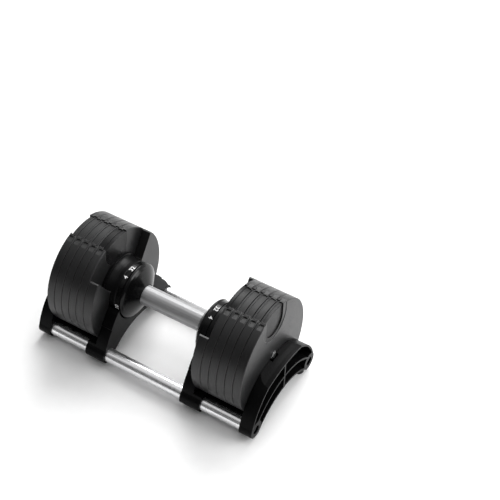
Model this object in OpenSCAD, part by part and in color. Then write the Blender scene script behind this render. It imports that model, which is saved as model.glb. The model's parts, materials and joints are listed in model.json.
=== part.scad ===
// Adjustable dumbbell with a twist handle, resting in its cradle.
// X runs along the handle, Y across the cradle, Z up from the surface it stands on.
// The origin is on that surface, under the middle of the handle.
// The left half is the mirror image of the right half, so everything that
// comes in pairs is drawn once, on the +X side.

/* [Overall] */
// Length of the cradle over both ends
cradle_l = 400; // [396:1:404]
// Height of the handle axis above the surface
axis_z = 95.8; // [95.4:0.1:97]

/* [Grip] */
// Outer diameter of the grip tube
grip_d = 32.6; // [31.8:0.1:33.4]
// Twist of the grip from all plates to no plates, in degrees
twist_range = 337.5; // [337.5:22.5:337.5]
// Distance that each selector rod travels over the whole twist
rod_travel = 70.9; // [70.9:0.1:71.5]
// Diameter of the selector rods
rod_d = 16; // [15:0.5:16]

/* [Weight plates] */
// Outer diameter of the plates
plate_d = 187.6; // [186:0.2:188]
// Full plates on each side
plate_count = 5; // [5:1:5]
// Distance from one plate to the next
plate_pitch = 14; // [13.8:0.1:14]
// Gap between neighbouring plates
plate_gap = 0.3; // [0.2:0.05:0.4]
// Inner face of the first full plate, from the middle
stack_x = 107.5; // [107.4:0.1:107.8]
// How far the rim is set back where the plates interlock
key_setback = 1.7; // [1:0.1:2]

/* [Hub and dial] */
// Diameter of the dial at its widest
dial_d = 93.4; // [90:0.2:94]
// Where the dial's domed face meets the grip, from the middle
dial_x = 54; // [53:0.1:55]
// Number of lock notches round the dial
lock_notches = 16; // [16:1:16]
// Travel of the lock pins
lock_travel = 6; // [5.8:0.1:6]

/* [Cradle] */
// Diameter of the two cradle tubes
tube_d = 23.2; // [22.8:0.1:23.6]
// Wall of the cradle tubes
tube_wall = 1.5; // [1.2:0.1:2]
// Distance between the axes of the cradle tubes
tube_gauge = 162; // [161:0.5:163]
// Height of the tube axes
tube_z = 20.2; // [20:0.1:20.6]
// Wall of the sockets round the tubes
socket_wall = 3.2; // [2.8:0.1:3.4]
// Height of the cradle's arched ends
arch_top = 95; // [94:0.2:96]
// Height of the opening under the arched ends
arch_under = 37; // [34:0.5:38]
// Thickness of the moulded ribs
rib_t = 3; // [2.4:0.2:3.4]

/* [Hidden] */

$fn = 96;
eps = 0.01;

// plates
plate_r = plate_d / 2;
stack_end_x = stack_x + plate_count * plate_pitch;
rod_clear = 0.3;
// the upright key that each plate carries on its outer face, and its slot
key_half_w = 24;
key_round_z = 71;
key_base_half_w = 27.5;
key_base_round_z = 72;
key_base_t = 5.9;
key_gap = 0.3;
// how far a key reaches into the base of the next one
key_reach = 2.4;
key_groove = 1;
key_chamfer = 0.7;
last_key_short = 2.6;
key_ear_r = 3.2;
key_ear_out = 1;
end_recess = 0.7;
end_recess_half_w = 33.5;
end_recess_round_z = 74;
rim_chamfer = 0.8;
// notches beside the keys
notch_w = 7.6;
notch_y = 28.2;
notch_z = 87.2;
notch_tilt = 9;
notch_shift = 7.8;
notch_corner = 1.2;
// inner plate, open at the top
inner_x = 91.5;
inner_bore_r = 48;
mouth_angle = 50.5;
mouth_land = 3;
mouth_low_y = 43.7;
mouth_low_z = 22.2;

// hub and dial
dial_r = dial_d / 2;
grip_r = grip_d / 2;
grip_bore_r = 13.5;
grip_end_x = 83.8;
band_x = 74;
band_r = 45.6;
band_end_x = 82;
web_x = 82.6;
lock_ring_x = grip_end_x;
lock_ring_end_x = 85.7;
lock_ring_in = 33;
lock_ring_out = 38;
hub_x = 82.4;
hub_wall_x = 92.5;
hub_flange_x = 103.4;
hub_end_x = stack_x - plate_gap / 2;
hub_flange_r = 51;
hub_cavity_r = 39.5;
pin_x = 88;
pin_head_r = 4;
pin_neck_r = 2;
pin_head_h = 5;
pin_head_low = 27.4;
pin_tip = 42.7;
pin_post_top = 43;
pin_post_r = 3.5;
fit = 0.05;

// shafts on the axis
sleeve_r = 13.45;
guide_r = 11;
guide_end_x = 106.8;
sleeve_end_x = 85;
washer_t = 1;
rod_r = rod_d / 2;
rod_tip_x = 173;
cap_x = 173.6;
cap_end_x = 181;
rod_in_x = 76;
follower_x = 81;
follower_r = 2.5;
follower_top = 13.2;

// cradle
end_x = cradle_l / 2;
tube_r = tube_d / 2;
tube_y = tube_gauge / 2;
socket_r = tube_r + socket_wall;
tube_end_x = end_x - 3.5;
outer_end_x = 178;
inner_foot_x = 71.4;
inner_wall_x = 91.1;
inner_foot_end_x = 106.9;
saddle_r = 48.5;
plate_clear = 0.35;
arch_r = 94;
arch_back_r = 97.4;
// flatter crown of the end arch
crown_r = 200.3;
crown_low = 109.4;
// pocket for the bore cap
cap_pocket_r = 9.8;
cap_pocket_end_x = 182.5;
horn_top = 92;
horn_y = 51;
horn_r = 7.5;
arch_low_y = 64;
arch_low_z = 15;
foot_z = 5.4;
rail_y = 79;
rail_in_y = 50;
rail_top_z = 31;
mid_rib_r = 110;
mid_rib_top = 64.6;
// tongues that hold the rails in the feet
tongue_l = 4;
tongue_y = 57;
tongue_w = 9;
tongue_h = 6;
pad_y = 71;
pad_r = 8;
shell_t = 2.5;
screw_r = 2;
screw_head_h = 1.8;

//---------------------------------------------------------------- helpers

// Draws its children on the right, or mirrored on the left
module side(left) {
    mirror([left ? 1 : 0, 0, 0]) children();
}

// Solid of revolution about the handle axis, from [radius, x] points
module turned(points) {
    translate([0, 0, axis_z])
        rotate([0, 90, 0])
            rotate_extrude()
                polygon(points);
}

// Straight round bar on the handle axis, from x0 to x1
module bar(x0, x1, r) {
    translate([x0, 0, axis_z])
        rotate([0, 90, 0])
            cylinder(h = x1 - x0, r = r);
}

// A y-z outline swept from x0 to x1
module along_x(x0, x1) {
    translate([x0, 0, 0])
        rotate([90, 0, 90])
            linear_extrude(height = x1 - x0)
                children();
}

// Round bar along X at y, z
module tube_bar(x0, x1, y, z, r) {
    translate([x0, y, z])
        rotate([0, 90, 0])
            cylinder(h = x1 - x0, r = r);
}

//---------------------------------------------------------------- plates

// Outline of an upright key: straight sides, round at the bottom
module key_outline(half_w, grow = 0, round_z = key_round_z) {
    translate([0, axis_z + round_z]) {
        circle(r = half_w + grow);
        translate([-half_w - grow, 0])
            square([2 * (half_w + grow), plate_r]);
    }
}

// Vertical ears that keep a key from pulling out of its slot sideways
module key_ears(x, grow = 0) {
    for (s = [-1, 1])
        translate([x, s * (key_half_w - key_ear_r + key_ear_out), axis_z + key_round_z])
            cylinder(h = plate_r, r = key_ear_r + grow);
}

// The key carried by the face at x: a wide base and a narrower body
module key(x, first = false, last = false) {
    top_r = plate_r - key_setback;
    end = x + plate_pitch - plate_gap + (last ? -last_key_short : key_reach);
    difference() {
        intersection() {
            union() {
                along_x(x - eps, x + key_base_t)
                    key_outline(key_base_half_w, 0, key_base_round_z);
                along_x(x, end)
                    key_outline(key_half_w);
                key_ears(x + key_ear_x);
            }
            turned([[0, x - 1], [top_r, x - 1], [top_r, end - key_chamfer],
                    [top_r - key_chamfer, end], [0, end]]);
        }
        // the end of the key before it sits in the base
        if (!first) {
            along_x(x - 1, x + key_reach)
                key_outline(key_half_w, key_gap);
            turned([[top_r - key_chamfer, x + key_reach - 0.1], [top_r - key_chamfer, x + key_reach],
                    [top_r, x + key_reach + key_chamfer], [top_r + 1, x + key_reach + key_chamfer],
                    [top_r + 1, x + key_reach - 0.1]]);
        }
        // groove where the base meets the body
        turned([[top_r - key_groove, x + key_base_t - key_groove / 2], [top_r + 1, x + key_base_t - key_groove / 2],
                [top_r + 1, x + key_base_t + key_groove / 2], [top_r - key_groove, x + key_base_t + key_groove / 2]]);
    }
}

key_ear_x = plate_pitch - plate_gap - key_ear_r - 1.2;

// Room in a plate for the key whose own face is at x
module key_slot(x) {
    along_x(x - 1, x + key_base_t + key_gap)
        key_outline(key_base_half_w, key_gap, key_base_round_z);
    along_x(x - 1, x + plate_pitch + 1)
        key_outline(key_half_w, key_gap);
    key_ears(x + key_ear_x, key_gap);
}

// Square back of a notch with two small round corners
module notch_outline() {
    half_w = notch_w / 2;
    translate([-half_w, notch_corner])
        square([notch_w, 12]);
    translate([notch_corner - half_w, 0])
        square([notch_w - 2 * notch_corner, 12]);
    for (m = [-1, 1])
        translate([m * (half_w - notch_corner), notch_corner])
            circle(r = notch_corner, $fn = 48);
}

// Flat-bottomed notches in the rim, one each side of the key
module rim_notches(x) {
    for (s = [0, 1])
        mirror([0, s, 0])
            translate([x + notch_shift, notch_y, axis_z + notch_z])
                rotate([-notch_tilt, 0, 0])
                    linear_extrude(height = 12)
                        notch_outline();
}

// Disc with small chamfers on both edges of its rim
module rim_disc(x0, x1) {
    turned([[0, x0], [plate_r - rim_chamfer, x0], [plate_r, x0 + rim_chamfer],
            [plate_r, x1 - rim_chamfer], [plate_r - rim_chamfer, x1], [0, x1]]);
}

// Full plate number n (1 is next to the inner plate)
module full_plate(n) {
    x0 = stack_x + (n - 1) * plate_pitch + plate_gap / 2;
    x1 = x0 + plate_pitch - plate_gap;
    last = n == plate_count;
    color([0.09, 0.09, 0.095])
    difference() {
        union() {
            difference() {
                rim_disc(x0, x1);
                key_slot(x0 - plate_gap);
                rim_notches(x0);
            }
            if (!last)
                key(x1, false, n == plate_count - 1);
        }
        bar(x0 - 1, x1 + plate_pitch, rod_r + rod_clear);
        // lead-in for the rod
        turned([[0, x0 - eps], [rod_r + rod_clear + 1, x0 - eps],
                [rod_r + rod_clear, x0 + 1], [0, x0 + 1]]);
        if (last)
            along_x(x1 - end_recess, x1 + 1)
                key_outline(end_recess_half_w, 0, end_recess_round_z);
    }
}

// Inner plate, open at the top so that the hub and its numbers show
module inner_plate() {
    rim_y = plate_r * sin(mouth_angle);
    rim_z = plate_r * cos(mouth_angle);
    color([0.10, 0.10, 0.105])
    difference() {
        rim_disc(inner_x, hub_end_x);
        bar(inner_x - 1, hub_flange_x, inner_bore_r);
        bar(hub_flange_x - 0.05, hub_end_x + 1, hub_flange_r + fit);
        along_x(inner_x - 1, hub_end_x + 1)
            translate([0, axis_z])
                polygon([[-mouth_low_y, mouth_low_z], [-rim_y + mouth_land, rim_z],
                         [-rim_y - 9, rim_z], [-rim_y - 9, plate_r + 9],
                         [rim_y + 9, plate_r + 9], [rim_y + 9, rim_z],
                         [rim_y - mouth_land, rim_z], [mouth_low_y, mouth_low_z]]);
        for (a = inner_screw_angles)
            inner_screw_hole(a);
    }
}

inner_screw_angles = [120, 180, 240];

// Clearance for one screw through the hub flange into the inner plate
module inner_screw_hole(angle) {
    translate([0, 0, axis_z])
        rotate([angle, 0, 0])
            translate([hub_flange_x - 8, 0, hub_flange_r - 0.4])
                rotate([0, 90, 0])
                    cylinder(h = 20, r = screw_r);
}

module inner_plate_screw(angle) {
    translate([0, 0, axis_z])
        rotate([angle, 0, 0])
            translate([hub_flange_x - 7.5, 0, hub_flange_r - 0.4])
                rotate([0, 90, 0])
                    cylinder(h = hub_end_x - hub_flange_x + 7.2, r = screw_r);
}

//---------------------------------------------------------------- hub

// Fixed hub: housing, flange and the key of the first full plate
module hub() {
    color([0.07, 0.07, 0.075])
    difference() {
        union() {
            turned([[0, hub_x], [band_r - 0.8, hub_x], [band_r, hub_x + 0.8], [band_r - 0.2, 86],
                    [band_r - 0.3, 90], [band_r + 0.1, 94], [band_r + 0.8, 97.5], [band_r + 1.6, 100.5],
                    [inner_bore_r - fit, 102], [inner_bore_r - fit, hub_flange_x],
                    [hub_flange_r, hub_flange_x], [hub_flange_r, hub_end_x], [0, hub_end_x]]);
            key(hub_end_x, true);
        }
        // room for the lock ring and the pin
        bar(hub_x - 1, hub_wall_x, hub_cavity_r);
        bar(hub_x, hub_end_x + 1, guide_r);
        // guide bore of the lock pin
        translate([pin_x, 0, axis_z - 60])
            cylinder(h = 30, r = pin_neck_r + fit);
        // room for the cradle's post under the pin
        translate([pin_x, 0, axis_z - 60])
            cylinder(h = 60 - pin_post_top + 0.4, r = pin_post_r + 0.4);
        for (a = inner_screw_angles)
            inner_screw_hole(a);
        hub_pin_hole(screw_r);
    }
    // seat for the thrust washer and the lock spring
    color([0.07, 0.07, 0.075])
    difference() {
        bar(sleeve_end_x + washer_t + 0.2, hub_wall_x + 1, 16.4);
        bar(sleeve_end_x, hub_wall_x + 2, guide_r);
    }
}

// Cross pin that holds the guide tube in the hub
module hub_pin_hole(r) {
    translate([98, 0, axis_z - 18])
        cylinder(h = 36, r = r);
}

module hub_pin() {
    color("silver")
    difference() {
        translate([98, 0, axis_z - 17.5])
            cylinder(h = 35, r = screw_r);
        bar(90, 106, rod_r + 1);
    }
}

// Dial: domed face towards the hand, number band, and the lock ring inside the hub
module dial() {
    color([0.05, 0.05, 0.055])
    difference() {
        turned([[grip_r, dial_x], [grip_r + 1.6, dial_x], [22, dial_x + 1.7], [28, dial_x + 4.5],
                [34, dial_x + 7.5], [40, dial_x + 10.8], [dial_r - 3, dial_x + 13.2],
                [dial_r - 1.2, dial_x + 14.8], [dial_r - 0.3, dial_x + 16], [dial_r, dial_x + 17],
                [dial_r - 0.3, dial_x + 18], [band_r, band_x], [band_r, band_end_x - 0.4],
                [band_r - 0.4, band_end_x], [lock_ring_out, band_end_x],
                [lock_ring_out - 0.2, band_x - 1], [21, band_x - 9], [21, web_x],
                [lock_ring_out, web_x], [lock_ring_out, lock_ring_end_x],
                [lock_ring_in, lock_ring_end_x], [lock_ring_in, grip_end_x],
                [grip_r, grip_end_x]]);
        for (k = [0 : lock_notches - 1])
            translate([0, 0, axis_z])
                rotate([k * 360 / lock_notches, 0, 0])
                    translate([pin_x, 0, -45])
                        cylinder(h = 15, r = pin_head_r + 0.25);
        for (a = [0, 120, 240])
            dial_screw_hole(a, 1.6);
    }
}

// Set screws from the dial's bore wall into the grip tube
module dial_screw_hole(angle, r) {
    translate([0, 0, axis_z])
        rotate([angle, 0, 0])
            translate([79, 0, 14])
                cylinder(h = 7.2, r = r);
}

module dial_set_screw(angle) {
    dial_screw_hole(angle, 1.6);
}

// Washer between the cam sleeve and the hub
module washer() {
    x0 = sleeve_end_x + 0.1;
    color([0.85, 0.83, 0.75])
    difference() {
        bar(x0, x0 + washer_t, 16);
        bar(x0 - 1, x0 + washer_t + 1, guide_r + fit);
    }
}

//---------------------------------------------------------------- shafts

module rod() {
    color("silver")
    difference() {
        turned([[0, rod_in_x], [rod_r - 1, rod_in_x], [rod_r, rod_in_x + 1],
                [rod_r, rod_tip_x - 3], [rod_r - 2.5, rod_tip_x], [0, rod_tip_x]]);
        translate([follower_x, 0, axis_z])
            cylinder(h = 30, r = follower_r);
    }
}

module follower_pin() {
    color("gray")
    translate([follower_x, 0, axis_z])
        cylinder(h = follower_top, r = follower_r);
}

// Domed cap that closes the bore of the outermost plate
module bore_cap() {
    face_x = stack_end_x - plate_gap / 2;
    color("silver")
    turned([[0, cap_x], [rod_r + rod_clear - 0.5, cap_x], [rod_r + rod_clear, cap_x + 0.5],
            [rod_r + rod_clear, face_x + 0.8], [7.6, face_x + 1.9], [6, face_x + 2.8],
            [3.6, cap_end_x - 0.3], [0, cap_end_x]]);
}

module straight_slot() {
    slot_r = follower_r + fit;
    x1 = follower_x;
    x0 = follower_x - rod_travel;
    translate([0, 0, axis_z])
        for (x = [x0, x1])
            translate([x, 0, 0])
                cylinder(h = 30, r = slot_r);
    translate([x0, -slot_r, axis_z])
        cube([x1 - x0, 2 * slot_r, 30]);
}

// Helical slot: its twist over its length moves the rod through its travel
module cam_slot() {
    slot_r = follower_r + 0.5;
    // the width across the slot, measured round the sleeve
    slot_w = 8.4;
    x0 = follower_x - rod_travel;
    // the slot runs on past both ends, to clear the pin's round flank
    run_on = 1.4;
    turn_on = twist_range * run_on / rod_travel;
    translate([x0 - run_on, 0, axis_z])
        rotate([twist_range + turn_on, 0, 0])
            rotate([0, 90, 0])
                linear_extrude(height = rod_travel + 2 * run_on, twist = twist_range + 2 * turn_on,
                               slices = 60, $fn = 8)
                    translate([-sleeve_r - 1, -slot_w / 2])
                        square([sleeve_r + 1 - guide_r + 1, slot_w]);
    translate([follower_x, 0, axis_z])
        translate([0, 0, guide_r - 1])
            cylinder(h = 4, r = slot_r);
    translate([x0, 0, axis_z])
        rotate([twist_range, 0, 0])
            translate([0, 0, guide_r - 1])
                cylinder(h = 4, r = slot_r);
}

//---------------------------------------------------------------- lock pin

// Pin pushed up by the cradle; its head locks the dial when the handle is lifted
module lock_pin() {
    color("silver")
    translate([pin_x, 0, axis_z]) {
        translate([0, 0, -pin_head_low - pin_head_h])
            cylinder(h = pin_head_h, r = pin_head_r);
        translate([0, 0, -pin_tip])
            cylinder(h = pin_tip - pin_head_low - 1, r = pin_neck_r);
    }
}

spring_top = 16.6;
spring_turns = 5;
spring_wire = 0.45;
spring_r = 2.7;

// Coil spring that returns the lock pin, as one swept wire
module lock_spring() {
    rings = spring_turns * 14;
    sides = 6;
    h = pin_head_low - spring_top - 2 * spring_wire - 0.3;
    color("gray")
    translate([pin_x, 0, axis_z - pin_head_low + spring_wire + 0.15])
        polyhedron(
            points = [for (i = [0 : rings]) for (k = [0 : sides - 1])
                let (a = i * 360 / 14, b = k * 360 / sides, r = spring_r + spring_wire * cos(b))
                    [r * cos(a), r * sin(a), h * i / rings + spring_wire * sin(b)]],
            faces = concat(
                [[for (k = [0 : sides - 1]) k]],
                [for (i = [0 : rings - 1]) for (k = [0 : sides - 1])
                    let (p = i * sides + k, q = i * sides + (k + 1) % sides)
                        [p, p + sides, q + sides, q]],
                [[for (k = [sides - 1 : -1 : 0]) rings * sides + k]]));
}

//---------------------------------------------------------------- cradle

// Arched outline shared by both walls of a cradle end
module arch_outline(grow = 0, r = arch_r) {
    // centre of the under-arch, through its top and its low side points
    under_c = (arch_under * arch_under - arch_low_y * arch_low_y - arch_low_z * arch_low_z)
              / (2 * (arch_under - arch_low_z));
    intersection() {
        difference() {
            union() {
                translate([0, arch_top - arch_r])
                    circle(r = r - grow, $fn = 180);
                for (s = [-1, 1])
                    translate([s * tube_y, tube_z])
                        circle(r = socket_r - grow);
            }
            translate([0, under_c])
                circle(r = arch_under - under_c + grow, $fn = 180);
        }
        // below the tubes only the round sockets stand further out
        union() {
            translate([-tube_y - socket_r - 5, tube_z])
                square([2 * (tube_y + socket_r + 5), arch_top]);
            translate([-tube_y, foot_z + grow])
                square([2 * tube_y, arch_top]);
            for (s = [-1, 1])
                translate([s * tube_y, tube_z])
                    circle(r = socket_r - grow);
        }
    }
}

// Solid under the crown of the end arch, set in by inset
module crown(inset = 0) {
    translate([0, 0, -crown_low])
        rotate([0, 90, 0])
            rotate_extrude($fn = 180)
                polygon([[0, outer_end_x - 1], [crown_r + 3.7 - inset, outer_end_x - 1],
                         [crown_r + 3.7 - inset, outer_end_x], [crown_r + 1.3 - inset, outer_end_x + 8],
                         [crown_r + 0.3 - inset, outer_end_x + 15], [crown_r - inset, end_x],
                         [crown_r - inset, end_x + 2], [0, end_x + 2]]);
}

// Outer wall: a box section, open outward, with ribs
module outer_wall() {
    difference() {
        intersection() {
            along_x(outer_end_x, end_x)
                arch_outline(0, arch_back_r);
            crown();
        }
        intersection() {
            along_x(outer_end_x + shell_t, end_x + 1)
                difference() {
                    arch_outline(rib_t, arch_back_r);
                    // middle arc rib and upright rib stay
                    translate([0, mid_rib_top - mid_rib_r])
                        difference() {
                            circle(r = mid_rib_r, $fn = 180);
                            circle(r = mid_rib_r - rib_t, $fn = 180);
                        }
                    translate([-rib_t / 2, 0])
                        square([rib_t, arch_top]);
                }
            difference() {
                crown(rib_t);
                bar(outer_end_x, cap_pocket_end_x + shell_t, cap_pocket_r + shell_t);
            }
        }
        bar(outer_end_x - 1, cap_pocket_end_x, cap_pocket_r);
    }
    for (s = [-1, 1])
        tube_bar(outer_end_x, end_x, s * tube_y, tube_z, socket_r);
}

// Upright horns of the inner wall, beside the dial
module horn_outline() {
    for (s = [0, 1])
        mirror([s, 0]) {
            translate([horn_y - horn_r, horn_top - horn_r])
                circle(r = horn_r);
            polygon([[horn_y - 2 * horn_r, 56], [horn_y - 2 * horn_r, horn_top - horn_r],
                     [horn_y - 0.3 * horn_r, horn_top - 0.3 * horn_r], [54, 86.3], [62, 77.3],
                     [70, 66.4], [64, 50]]);
        }
}

module inner_outline() {
    arch_outline();
    horn_outline();
}

// Inner wall, with the round saddle under the hub
module inner_wall() {
    difference() {
        along_x(inner_foot_x, inner_wall_x)
            inner_outline();
        bar(inner_foot_x - 1, inner_wall_x + 1, saddle_r);
        translate([inner_foot_x - 1, -saddle_r, axis_z])
            cube([30, 2 * saddle_r, 60]);
        // hollow underneath, between the two faces
        difference() {
            along_x(inner_foot_x + shell_t, inner_wall_x - shell_t)
                arch_outline(rib_t);
            bar(inner_foot_x - 1, inner_wall_x + 1, saddle_r + rib_t);
            along_x(inner_foot_x, inner_wall_x)
                for (s = [-1, 1])
                    translate([s * tube_y, tube_z])
                        circle(r = socket_r);
        }
    }
    // post that holds the lock pin up
    translate([pin_x, 0, axis_z - saddle_r - rib_t])
        cylinder(h = saddle_r + rib_t - pin_post_top, r = pin_post_r);
}

// Foot under the inner wall, round the tube
module inner_foot(s) {
    tube_bar(inner_foot_x, inner_foot_end_x, s * tube_y, tube_z, socket_r);
    along_x(inner_wall_x - 1, inner_foot_end_x)
        intersection() {
            arch_outline();
            translate([s > 0 ? rail_in_y : -tube_y - socket_r, 0])
                square([tube_y + socket_r - rail_in_y, rail_top_z + 6]);
        }
}

// Tongue on the end of a rail, or with grow its pocket in the foot
module tongue(x0, x1, s, grow = 0) {
    translate([x0, s > 0 ? tongue_y - grow : -tongue_y - tongue_w - grow, foot_z + 2.5 - grow])
        cube([x1 - x0, tongue_w + 2 * grow, tongue_h + 2 * grow]);
}

// Rail that carries the plates beside one tube, held between two feet
module rail(s) {
    color([0.06, 0.06, 0.065])
    difference() {
        union() {
            along_x(inner_foot_end_x, outer_end_x)
                translate([s > 0 ? rail_in_y : -rail_y, foot_z])
                    square([rail_y - rail_in_y, rail_top_z - foot_z]);
            tongue(inner_foot_end_x - tongue_l, outer_end_x + tongue_l, s);
        }
        bar(inner_foot_end_x, outer_end_x, plate_r + plate_clear);
        tube_bar(inner_foot_end_x - tongue_l - 1, outer_end_x + tongue_l + 1, s * tube_y, tube_z, tube_r + 0.4);
    }
}

// Bores, screws and stem holes at one foot, where the tube of side s passes
module foot_holes(x, s) {
    tube_bar(inner_foot_x - 1, tube_end_x, s * tube_y, tube_z, tube_r);
    tube_bar(inner_foot_x - 1, end_x + 1, s * tube_y, tube_z, tube_r - 4);
    tube_screw_hole(x, s);
    translate([x, s * pad_y, -1])
        cylinder(h = foot_z + 4, r = 3);
    tongue(inner_foot_end_x - tongue_l - 0.3, outer_end_x + tongue_l + 0.3, s, fit);
}

module pad(x, s) {
    translate([x, s * pad_y, foot_z])
        cylinder(h = tube_z - foot_z, r = pad_r);
}

// Arched end of the cradle
module end_arch() {
    color([0.06, 0.06, 0.065])
    difference() {
        union() {
            outer_wall();
            for (s = [-1, 1])
                pad(outer_foot_x, s);
        }
        for (s = [-1, 1])
            foot_holes(outer_foot_x, s);
        bar(outer_end_x - 10, outer_end_x, plate_r + plate_clear);
    }
}

// Bracket under the dial and hub, with the round saddle and its two feet
module saddle() {
    color([0.06, 0.06, 0.065])
    difference() {
        union() {
            inner_wall();
            for (s = [-1, 1]) {
                inner_foot(s);
                pad(saddle_foot_x, s);
            }
        }
        bar(inner_wall_x, outer_end_x, plate_r + plate_clear);
        for (s = [-1, 1])
            foot_holes(saddle_foot_x, s);
    }
}

saddle_foot_x = 81;
outer_foot_x = 188;
foot_xs = [saddle_foot_x, outer_foot_x];

module tube_screw_hole(x, s) {
    translate([x, s * tube_y, 0]) {
        cylinder(h = tube_z - tube_r + 3, r = screw_r);
        cylinder(h = foot_z + screw_head_h, r = screw_r + 1.6);
    }
}

module tube_screw(x, s) {
    translate([x, s * tube_y, foot_z]) {
        cylinder(h = screw_head_h, r = screw_r + 1.5);
        cylinder(h = tube_z - tube_r - foot_z + 2, r = screw_r);
    }
}

// Bare tube across the whole cradle
module cradle_tube(s) {
    color([0.8, 0.81, 0.82])
    difference() {
        tube_bar(-tube_end_x, tube_end_x, s * tube_y, tube_z, tube_r);
        tube_bar(-tube_end_x - 1, tube_end_x + 1, s * tube_y, tube_z, tube_r - tube_wall);
        for (x = foot_xs, m = [-1, 1])
            translate([m * x, s * tube_y, 0])
                cylinder(h = tube_z, r = screw_r);
    }
}

// Rubber foot with a stem pressed into the moulding
module rubber_foot(x, s) {
    translate([x, s * pad_y, 0]) {
        cylinder(h = foot_z, r = pad_r);
        cylinder(h = foot_z + 3, r = 3);
    }
}

//---------------------------------------------------------------- nodes

module end_arch_left() side(true) end_arch();
module end_arch_right() side(false) end_arch();
module saddle_left() side(true) saddle();
module saddle_right() side(false) saddle();
module front_rail_left() side(true) rail(-1);
module rear_rail_left() side(true) rail(1);
module front_rail_right() side(false) rail(-1);
module rear_rail_right() side(false) rail(1);
module front_tube() cradle_tube(-1);
module rear_tube() cradle_tube(1);
module tube_screws() {
    color("silver")
    for (l = [true, false], x = foot_xs, s = [-1, 1])
        side(l) tube_screw(x, s);
}
module rubber_feet() {
    color([0.12, 0.12, 0.12])
    for (l = [true, false], x = foot_xs, s = [-1, 1])
        side(l) rubber_foot(x, s);
}
module grip_tube() {
    color([0.78, 0.78, 0.78])
    difference() {
        bar(-grip_end_x, grip_end_x, grip_r);
        bar(-grip_end_x - 1, grip_end_x + 1, grip_bore_r);
        for (l = [true, false], a = [0, 120, 240])
            side(l) dial_screw_hole(a, 1.6);
    }
}
module cam_sleeve() {
    color([0.6, 0.6, 0.62])
    difference() {
        bar(-sleeve_end_x, sleeve_end_x, sleeve_r);
        bar(-sleeve_end_x - 1, sleeve_end_x + 1, guide_r + fit);
        for (l = [true, false])
            side(l) cam_slot();
    }
}
module dial_left() side(true) dial();
module dial_right() side(false) dial();
module dial_screws() {
    color("silver")
    for (l = [true, false], a = [0, 120, 240])
        side(l) dial_set_screw(a);
}
module hub_left() side(true) hub();
module hub_right() side(false) hub();
module guide_tube() {
    color([0.7, 0.7, 0.72])
    difference() {
        bar(-guide_end_x, guide_end_x, guide_r);
        bar(-guide_end_x - 1, guide_end_x + 1, rod_r + fit);
        for (l = [true, false])
            side(l) {
                straight_slot();
                hub_pin_hole(screw_r);
            }
    }
}
module thrust_washers() for (l = [true, false]) side(l) washer();
module hub_pins() for (l = [true, false]) side(l) hub_pin();
module inner_plate_left() side(true) inner_plate();
module inner_plate_right() side(false) inner_plate();
module inner_plate_screws() {
    color("silver")
    for (l = [true, false], a = inner_screw_angles)
        side(l) inner_plate_screw(a);
}
module rod_left() side(true) rod();
module rod_right() side(false) rod();
module follower_pin_left() side(true) follower_pin();
module follower_pin_right() side(false) follower_pin();
module bore_cap_left() side(true) bore_cap();
module bore_cap_right() side(false) bore_cap();
module lock_pin_left() side(true) lock_pin();
module lock_pin_right() side(false) lock_pin();
module lock_spring_left() side(true) lock_spring();
module lock_spring_right() side(false) lock_spring();

end_arch_left();
end_arch_right();
saddle_left();
saddle_right();
front_rail_left();
rear_rail_left();
front_rail_right();
rear_rail_right();
front_tube();
rear_tube();
tube_screws();
rubber_feet();
grip_tube();
cam_sleeve();
dial_left();
dial_right();
dial_screws();
hub_left();
hub_right();
guide_tube();
thrust_washers();
hub_pins();
inner_plate_left();
inner_plate_right();
inner_plate_screws();
rod_left();
rod_right();
follower_pin_left();
follower_pin_right();
bore_cap_left();
bore_cap_right();
lock_pin_left();
lock_pin_right();
lock_spring_left();
lock_spring_right();
for (n = [1 : plate_count]) {
    side(true) full_plate(n);
    side(false) full_plate(n);
}
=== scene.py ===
import bpy
import bmesh
import json
import math
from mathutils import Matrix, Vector


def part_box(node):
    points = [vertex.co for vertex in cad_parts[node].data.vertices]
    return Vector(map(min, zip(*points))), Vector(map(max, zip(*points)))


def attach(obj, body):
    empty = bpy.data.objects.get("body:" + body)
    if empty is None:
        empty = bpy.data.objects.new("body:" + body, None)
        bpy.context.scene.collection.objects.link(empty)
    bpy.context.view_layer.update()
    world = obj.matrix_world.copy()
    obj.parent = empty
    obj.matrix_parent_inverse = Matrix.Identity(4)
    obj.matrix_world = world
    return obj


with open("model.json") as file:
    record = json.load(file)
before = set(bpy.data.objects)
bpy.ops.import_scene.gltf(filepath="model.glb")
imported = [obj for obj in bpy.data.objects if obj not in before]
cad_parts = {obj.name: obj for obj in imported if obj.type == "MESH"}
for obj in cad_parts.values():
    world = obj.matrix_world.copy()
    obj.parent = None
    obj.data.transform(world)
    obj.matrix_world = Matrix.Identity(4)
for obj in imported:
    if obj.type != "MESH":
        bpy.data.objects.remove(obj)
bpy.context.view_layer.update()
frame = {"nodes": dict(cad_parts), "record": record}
nodes = frame["nodes"]
record = frame["record"]

# sizes taken from the frame, in metres
SIDES = {"left": -1, "right": 1}
grip_lo, grip_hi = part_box("grip_tube")
AXIS_Z = (grip_lo.z + grip_hi.z) / 2
plate_lo, plate_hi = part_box("plate_right_6")
PLATE_R = (plate_hi.y - plate_lo.y) / 2
# a key ends where its piece's box ends; a painted shadow line marks the gap there
KEY_PIECES = ("hub_right", "plate_right_2", "plate_right_3", "plate_right_4")
KEY_ENDS = [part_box(name)[1].x for name in KEY_PIECES]
KEY_HALF_W = 0.0243     # half the width of a key's slot
KEY_LOW = 0.045         # height of a key's lowest point above the axis
KEY_DROP = 0.0012       # keys lie lower than the rim by more than this
GAP_SHADE_HALF_W = 0.0005     # half the width of the painted shadow line in a gap

# the range of a noise texture that holds nearly all its values
NOISE_LO, NOISE_HI = 0.3, 0.7


# ------------------------------------------------------------------ materials

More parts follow.
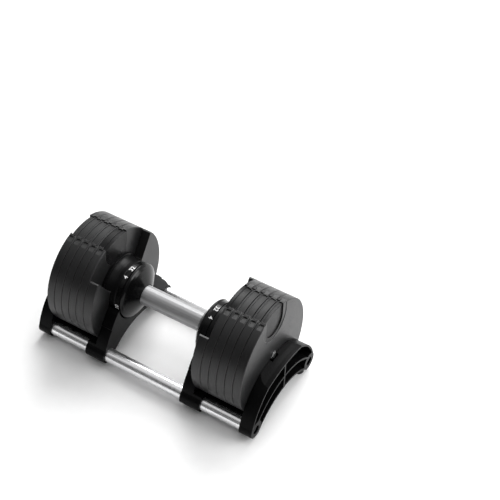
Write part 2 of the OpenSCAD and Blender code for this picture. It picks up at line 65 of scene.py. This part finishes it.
class Tree:
    """Small helper that builds one material's node tree."""

    def __init__(self, name):
        self.mat = bpy.data.materials.new(name)
        self.mat.use_nodes = True
        self.nt = self.mat.node_tree
        self.nt.nodes.clear()
        out = self.nt.nodes.new("ShaderNodeOutputMaterial")
        self.bsdf = self.nt.nodes.new("ShaderNodeBsdfPrincipled")
        self.nt.links.new(self.bsdf.outputs["BSDF"], out.inputs["Surface"])

    def node(self, kind, inputs=None, **attrs):
        n = self.nt.nodes.new(kind)
        for k, v in attrs.items():
            setattr(n, k, v)
        for k, v in (inputs or {}).items():
            self.set(n, k, v)
        return n

    def set(self, n, key, value):
        if isinstance(value, bpy.types.NodeSocket):
            self.nt.links.new(value, n.inputs[key])
        else:
            n.inputs[key].default_value = value

    def math(self, op, a, b=0.0):
        n = self.node("ShaderNodeMath", operation=op)
        self.set(n, 0, a)
        self.set(n, 1, b)
        return n.outputs[0]

    def add(self, a, b):
        return self.math("ADD", a, b)

    def sub(self, a, b):
        return self.math("SUBTRACT", a, b)

    def mul(self, a, b):
        return self.math("MULTIPLY", a, b)

    def remap(self, v, a, b, c, d):
        n = self.node("ShaderNodeMapRange",
                      {"Value": v, "From Min": a, "From Max": b, "To Min": c, "To Max": d})
        return n.outputs["Result"]

    def spread(self, v, c, d):
        """A noise value stretched over c to d."""
        return self.remap(v, NOISE_LO, NOISE_HI, c, d)

    def coords(self):
        return self.node("ShaderNodeTexCoord").outputs["Object"]

    def split(self, v):
        n = self.node("ShaderNodeSeparateXYZ", {"Vector": v})
        return n.outputs["X"], n.outputs["Y"], n.outputs["Z"]

    def join(self, x, y, z):
        return self.node("ShaderNodeCombineXYZ", {"X": x, "Y": y, "Z": z}).outputs["Vector"]

    def noise(self, vec, scale, detail=3.0, rough=0.55):
        n = self.node("ShaderNodeTexNoise",
                      {"Vector": vec, "Scale": scale, "Detail": detail, "Roughness": rough})
        return n.outputs["Fac"]

    def tint(self, tone, blue=1.0):
        """A grey with its blue part scaled."""
        n = self.node("ShaderNodeCombineColor",
                      {"Red": tone, "Green": tone, "Blue": self.mul(tone, blue)})
        return n.outputs[0]

    def mix(self, fac, a, b):
        n = self.node("ShaderNodeMix", data_type="RGBA")
        for key, value in ((0, fac), (6, a), (7, b)):
            self.set(n, key, value)
        return n.outputs[2]

    def edge(self, radius):
        """1 on edges, where a highlight is painted, and 0 elsewhere, with the rounded normal."""
        bevel = self.node("ShaderNodeBevel", {"Radius": radius}, samples=6)
        geo = self.node("ShaderNodeNewGeometry")
        dot = self.node("ShaderNodeVectorMath", operation="DOT_PRODUCT")
        self.nt.links.new(bevel.outputs[0], dot.inputs[0])
        self.nt.links.new(geo.outputs["Normal"], dot.inputs[1])
        return self.remap(dot.outputs["Value"], 0.75, 0.98, 1.0, 0.0), bevel.outputs[0]

    def finish(self, base, rough, metal=0.0, bump=None, strength=0.2, distance=0.0002,
               normal=None, spec=0.5):
        self.set(self.bsdf, "Base Color", base)
        self.set(self.bsdf, "Roughness", rough)
        self.set(self.bsdf, "Metallic", metal)
        self.set(self.bsdf, "Specular IOR Level", spec)
        if bump is not None:
            b = self.node("ShaderNodeBump",
                          {"Strength": strength, "Distance": distance, "Height": bump})
            if normal is not None:
                self.nt.links.new(normal, b.inputs["Normal"])
            normal = b.outputs[0]
        if normal is not None:
            self.nt.links.new(normal, self.bsdf.inputs["Normal"])
        return self.mat


def grey(v):
    return (v, v, v, 1)


def plate_material():
    """Black coating: turned rims and faces, coarse cast keys."""
    t = Tree("plate_coat")
    x, y, z = t.split(t.coords())
    dz = t.sub(z, AXIS_Z)
    radius = t.math("SQRT", t.add(t.mul(y, y), t.mul(dz, dz)))
    angle = t.math("ARCTAN2", y, dz)
    # turned lines lie at constant radius on the faces and constant x on the rim
    ring = t.noise(t.join(x, radius, t.mul(angle, 0.0015)), 2600, 2, 0.6)
    band = t.noise(t.join(x, radius, t.mul(angle, 0.004)), 620, 3, 0.5)
    place = t.join(x, y, z)
    cloud = t.noise(place, 26, 4, 0.6)
    speck = t.noise(place, 2400, 2, 0.5)
    cast = t.noise(place, 900, 3, 0.65)
    edge, nrm = t.edge(0.0007)
    # 1 on the keys, 0 elsewhere
    across = t.math("LESS_THAN", t.math("ABSOLUTE", y), KEY_HALF_W)
    key = t.mul(across, t.math("GREATER_THAN", z, AXIS_Z + KEY_LOW))
    key = t.mul(key, t.math("LESS_THAN", radius, PLATE_R - KEY_DROP))
    # 1 in the painted shadow lines in the gaps between keys
    line = 0.0
    for end in KEY_ENDS:
        off = t.math("ABSOLUTE", t.sub(t.math("ABSOLUTE", x), end))
        line = t.add(line, t.math("LESS_THAN", off, GAP_SHADE_HALF_W))
    line = t.mul(line, across)
    tone = t.add(t.spread(band, -0.002, 0.002), t.spread(cloud, 0.007, 0.011))
    # painted highlight: the plate edges turn a lighter grey
    base = t.mix(t.mul(edge, 0.6), t.tint(tone, 1.04), grey(0.16))
    # painted shadow: the gaps between keys turn nearly black
    base = t.mix(line, base, grey(0.001))
    rough = t.add(t.spread(ring, -0.04, 0.05), t.spread(cloud, 0.34, 0.41))
    rough = t.add(rough, t.mul(key, 0.1))
    height = t.add(t.mul(ring, 0.7), t.mul(speck, 0.3))
    height = t.add(height, t.mul(key, t.mul(cast, 2.2)))
    # a metal this dark hardly shines, so this dulls the keys and blackens the painted shadow lines
    # in their gaps
    metal = t.math("MAXIMUM", line, t.mul(key, 0.33))
    return t.finish(base, rough, metal, height, 0.16, 0.0001, nrm, 0.42)


def plastic_material(name, tones, roughs, grain, strength, edge_highlight_tone, spec):
    """Moulded plastic with a fine grain and a faint painted highlight on the edges."""
    t = Tree(name)
    co = t.coords()
    big = t.noise(co, 34, 4, 0.6)
    fine = t.noise(co, grain, 3, 0.6)
    cell = t.node("ShaderNodeTexVoronoi", {"Vector": co, "Scale": grain * 0.8}).outputs["Distance"]
    edge, nrm = t.edge(0.0005)
    # painted highlight: the edges turn toward the grey of edge_highlight_tone
    base = t.mix(t.mul(edge, 0.3), t.tint(t.spread(big, *tones), 1.05), grey(edge_highlight_tone))
    rough = t.add(t.spread(fine, -0.03, 0.03), t.spread(big, *roughs))
    height = t.add(t.mul(fine, 0.5), t.mul(cell, 0.5))
    return t.finish(base, rough, 0.0, height, strength, 0.00008, nrm, spec)


def metal_material(name, tone, roughs, lengthwise, line, strength):
    """Drawn metal with fine lines along X, or turned metal with lines round the axis."""
    t = Tree(name)
    x, y, z = t.split(t.coords())
    if lengthwise:
        vec = t.join(t.mul(x, 0.012), y, z)
    else:
        vec = t.join(x, t.mul(y, 0.02), t.mul(z, 0.02))
    lines = t.noise(vec, 1500, 3, 0.6)
    broad = t.noise(vec, 240, 2, 0.5)
    cloud = t.noise(t.join(x, y, z), 40, 4, 0.62)
    shade = t.add(t.spread(broad, -0.05 * line, 0.05 * line),
                  t.spread(cloud, tone - 0.02, tone + 0.02))
    rough = t.add(t.spread(lines, -0.05, 0.06), t.spread(cloud, *roughs))
    return t.finish(t.tint(shade, 1.012), rough, 1.0, lines, strength, 0.00006)


def paint_material():
    t = Tree("number_paint")
    n = t.noise(t.coords(), 900, 3, 0.6)
    base = t.tint(t.spread(n, 0.78, 0.88))
    return t.finish(base, t.spread(n, 0.35, 0.45), 0.0, n, 0.1, 0.00003)


MATERIALS = {
    "plate_iron": plate_material(),
    "hub_plastic": plastic_material(
        "hub_satin", (0.003, 0.005), (0.26, 0.33), 1500, 0.06, 0.02, 0.14),
    "dial_plastic": plastic_material(
        "dial_gloss", (0.002, 0.004), (0.15, 0.20), 1200, 0.03, 0.02, 0.2),
    "cradle_plastic": plastic_material(
        "cradle_satin", (0.002, 0.004), (0.30, 0.38), 1300, 0.14, 0.12, 0.06),
    "washer_plastic": plastic_material(
        "washer_plain", (0.5, 0.56), (0.4, 0.5), 900, 0.1, 0.5, 0.5),
    "rubber": plastic_material(
        "rubber_matte", (0.014, 0.02), (0.7, 0.8), 1800, 0.4, 0.03, 0.3),
    "grip_aluminium": metal_material("grip_satin", 0.36, (0.52, 0.60), True, 1.5, 0.16),
    "tube_aluminium": metal_material("tube_bright", 0.88, (0.22, 0.30), True, 0.5, 0.08),
    "cam_steel": metal_material("cam_turned", 0.5, (0.25, 0.35), False, 0.6, 0.12),
    "steel": metal_material("zinc_steel", 0.66, (0.22, 0.3), False, 0.3, 0.12),
}
paint = paint_material()
cap_steel = metal_material("cap_blacked_steel", 0.12, (0.16, 0.24), False, 0.2, 0.12)

for sub in record["subparts"]:
    o = nodes[sub["node"]]
    is_cap = sub["node"].startswith("bore_cap")
    o.data.materials.clear()
    o.data.materials.append(cap_steel if is_cap else MATERIALS[sub["material_slot"]])
    for p in o.data.polygons:
        p.material_index = 0


# ------------------------------------------------------------------ numbers on the dials

DIGIT_SIZE = 0.0098
DIGIT_THICK = 0.00012
PAINT_LIFT = 0.00005    # keeps the paint clear of the band under it
LONGEST_EDGE = 0.0008   # longer edges are cut, so that the digits bend smoothly


def number_mesh(name, text, sign, angle, x_mid, radius):
    """Digits wrapped round the band, with their tops pointing outward along the handle."""
    cu = bpy.data.curves.new(name, "FONT")
    cu.body = text
    cu.size = DIGIT_SIZE
    cu.align_x = "CENTER"
    cu.align_y = "CENTER"
    cu.extrude = DIGIT_THICK
    cu.offset = DIGIT_THICK
    tmp = bpy.data.objects.new(name + "_tmp", cu)
    bpy.context.scene.collection.objects.link(tmp)
    dg = bpy.context.evaluated_depsgraph_get()
    me = bpy.data.meshes.new_from_object(tmp.evaluated_get(dg))
    bpy.data.objects.remove(tmp)
    bm = bmesh.new()
    bm.from_mesh(me)
    long_edges = [e for e in bm.edges if e.calc_length() > LONGEST_EDGE]
    bmesh.ops.subdivide_edges(bm, edges=long_edges, cuts=2)
    for v in bm.verts:
        a = angle + sign * v.co.x / radius
        r = radius + PAINT_LIFT + v.co.z
        v.co = Vector((x_mid + sign * v.co.y, -r * math.sin(a), AXIS_Z + r * math.cos(a)))
    bmesh.ops.recalc_face_normals(bm, faces=bm.faces)
    bm.to_mesh(me)
    bm.free()
    me.name = name
    me.materials.clear()
    me.materials.append(paint)
    o = bpy.data.objects.new(name, me)
    bpy.context.scene.collection.objects.link(o)
    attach(o, "grip")


# the weight in kilograms at each click, and the turn from one click to the next
WEIGHTS = ["32", "26", "21", "15", "10", "4"]
CLICK = math.radians(67.5)
FIRST_TURN = math.radians(2)
BAND_R = 0.0456
BAND_X = 0.0778
for side, sign in SIDES.items():
    for i, weight in enumerate(WEIGHTS):
        number_mesh("number_%s_%s" % (side, weight), weight, sign,
                    FIRST_TURN - CLICK * i, sign * BAND_X, BAND_R)


# ------------------------------------------------------------------ stage

FLOOR_HALF = 6.0
CENTRE = (0.0, 0.0, 0.08)


def floor():
    bm = bmesh.new()
    bmesh.ops.create_grid(bm, x_segments=2, y_segments=2, size=FLOOR_HALF)
    me = bpy.data.meshes.new("floor")
    bm.to_mesh(me)
    bm.free()
    t = Tree("floor_paper")
    n = t.noise(t.coords(), 60, 3, 0.5)
    me.materials.append(t.finish(t.tint(t.spread(n, 0.93, 0.95)), 0.9))
    o = bpy.data.objects.new("floor", me)
    bpy.context.scene.collection.objects.link(o)


def area(name, loc, size, power):
    """Square soft light aimed at the middle of the object."""
    li = bpy.data.lights.new(name, "AREA")
    li.energy = power
    li.size = size
    o = bpy.data.objects.new(name, li)
    bpy.context.scene.collection.objects.link(o)
    o.location = loc
    o.rotation_mode = "QUATERNION"
    o.rotation_quaternion = (Vector(CENTRE) - Vector(loc)).to_track_quat("-Z", "Y")


def studio_world():
    """Dim in front of the object, bright behind it and overhead."""
    world = bpy.data.worlds.new("studio")
    bpy.context.scene.world = world
    world.use_nodes = True
    nt = world.node_tree
    back = nt.nodes["Background"]
    back.inputs["Color"].default_value = (1, 1, 1, 1)
    coord = nt.nodes.new("ShaderNodeTexCoord")
    split = nt.nodes.new("ShaderNodeSeparateXYZ")
    nt.links.new(coord.outputs["Generated"], split.inputs[0])
    most = nt.nodes.new("ShaderNodeMath")
    most.operation = "MAXIMUM"
    ramps = (("Y", -0.5, 0.7, 0.14, 0.9), ("Z", 0.55, 0.9, 0.0, 0.75))
    for i, (axis, lo_in, hi_in, lo_out, hi_out) in enumerate(ramps):
        ramp = nt.nodes.new("ShaderNodeMapRange")
        ramp.interpolation_type = "SMOOTHSTEP"
        nt.links.new(split.outputs[axis], ramp.inputs["Value"])
        ramp.inputs["From Min"].default_value = lo_in
        ramp.inputs["From Max"].default_value = hi_in
        ramp.inputs["To Min"].default_value = lo_out
        ramp.inputs["To Max"].default_value = hi_out
        nt.links.new(ramp.outputs["Result"], most.inputs[i])
    nt.links.new(most.outputs[0], back.inputs["Strength"])


floor()
studio_world()
area("key_behind", (-0.5, 2.0, 2.3), 1.7, 66.0)
area("right_soft", (2.3, 1.0, 1.2), 1.6, 52.0)
area("overhead", (0.3, 0.6, 3.0), 1.4, 16.0)

# direction from the object to the camera
CAMERA_BACK = (0.4123, -0.6279, 0.6601)
cam_data = bpy.data.cameras.new("camera")
cam = bpy.data.objects.new("camera", cam_data)
bpy.context.scene.collection.objects.link(cam)
cam.location = (0.7611, -1.1301, 1.5220)
cam.rotation_mode = "QUATERNION"
cam.rotation_quaternion = (-Vector(CAMERA_BACK).normalized()).to_track_quat("-Z", "Y")
cam_data.sensor_width = 36.0
cam_data.lens = 90.72
cam_data.shift_x = 0.1306
cam_data.shift_y = -0.1038
cam_data.clip_start = 0.05
cam_data.clip_end = 50.0
bpy.context.scene.camera = cam
bpy.context.scene.view_settings.view_transform = "Standard"

bpy.context.view_layer.update()
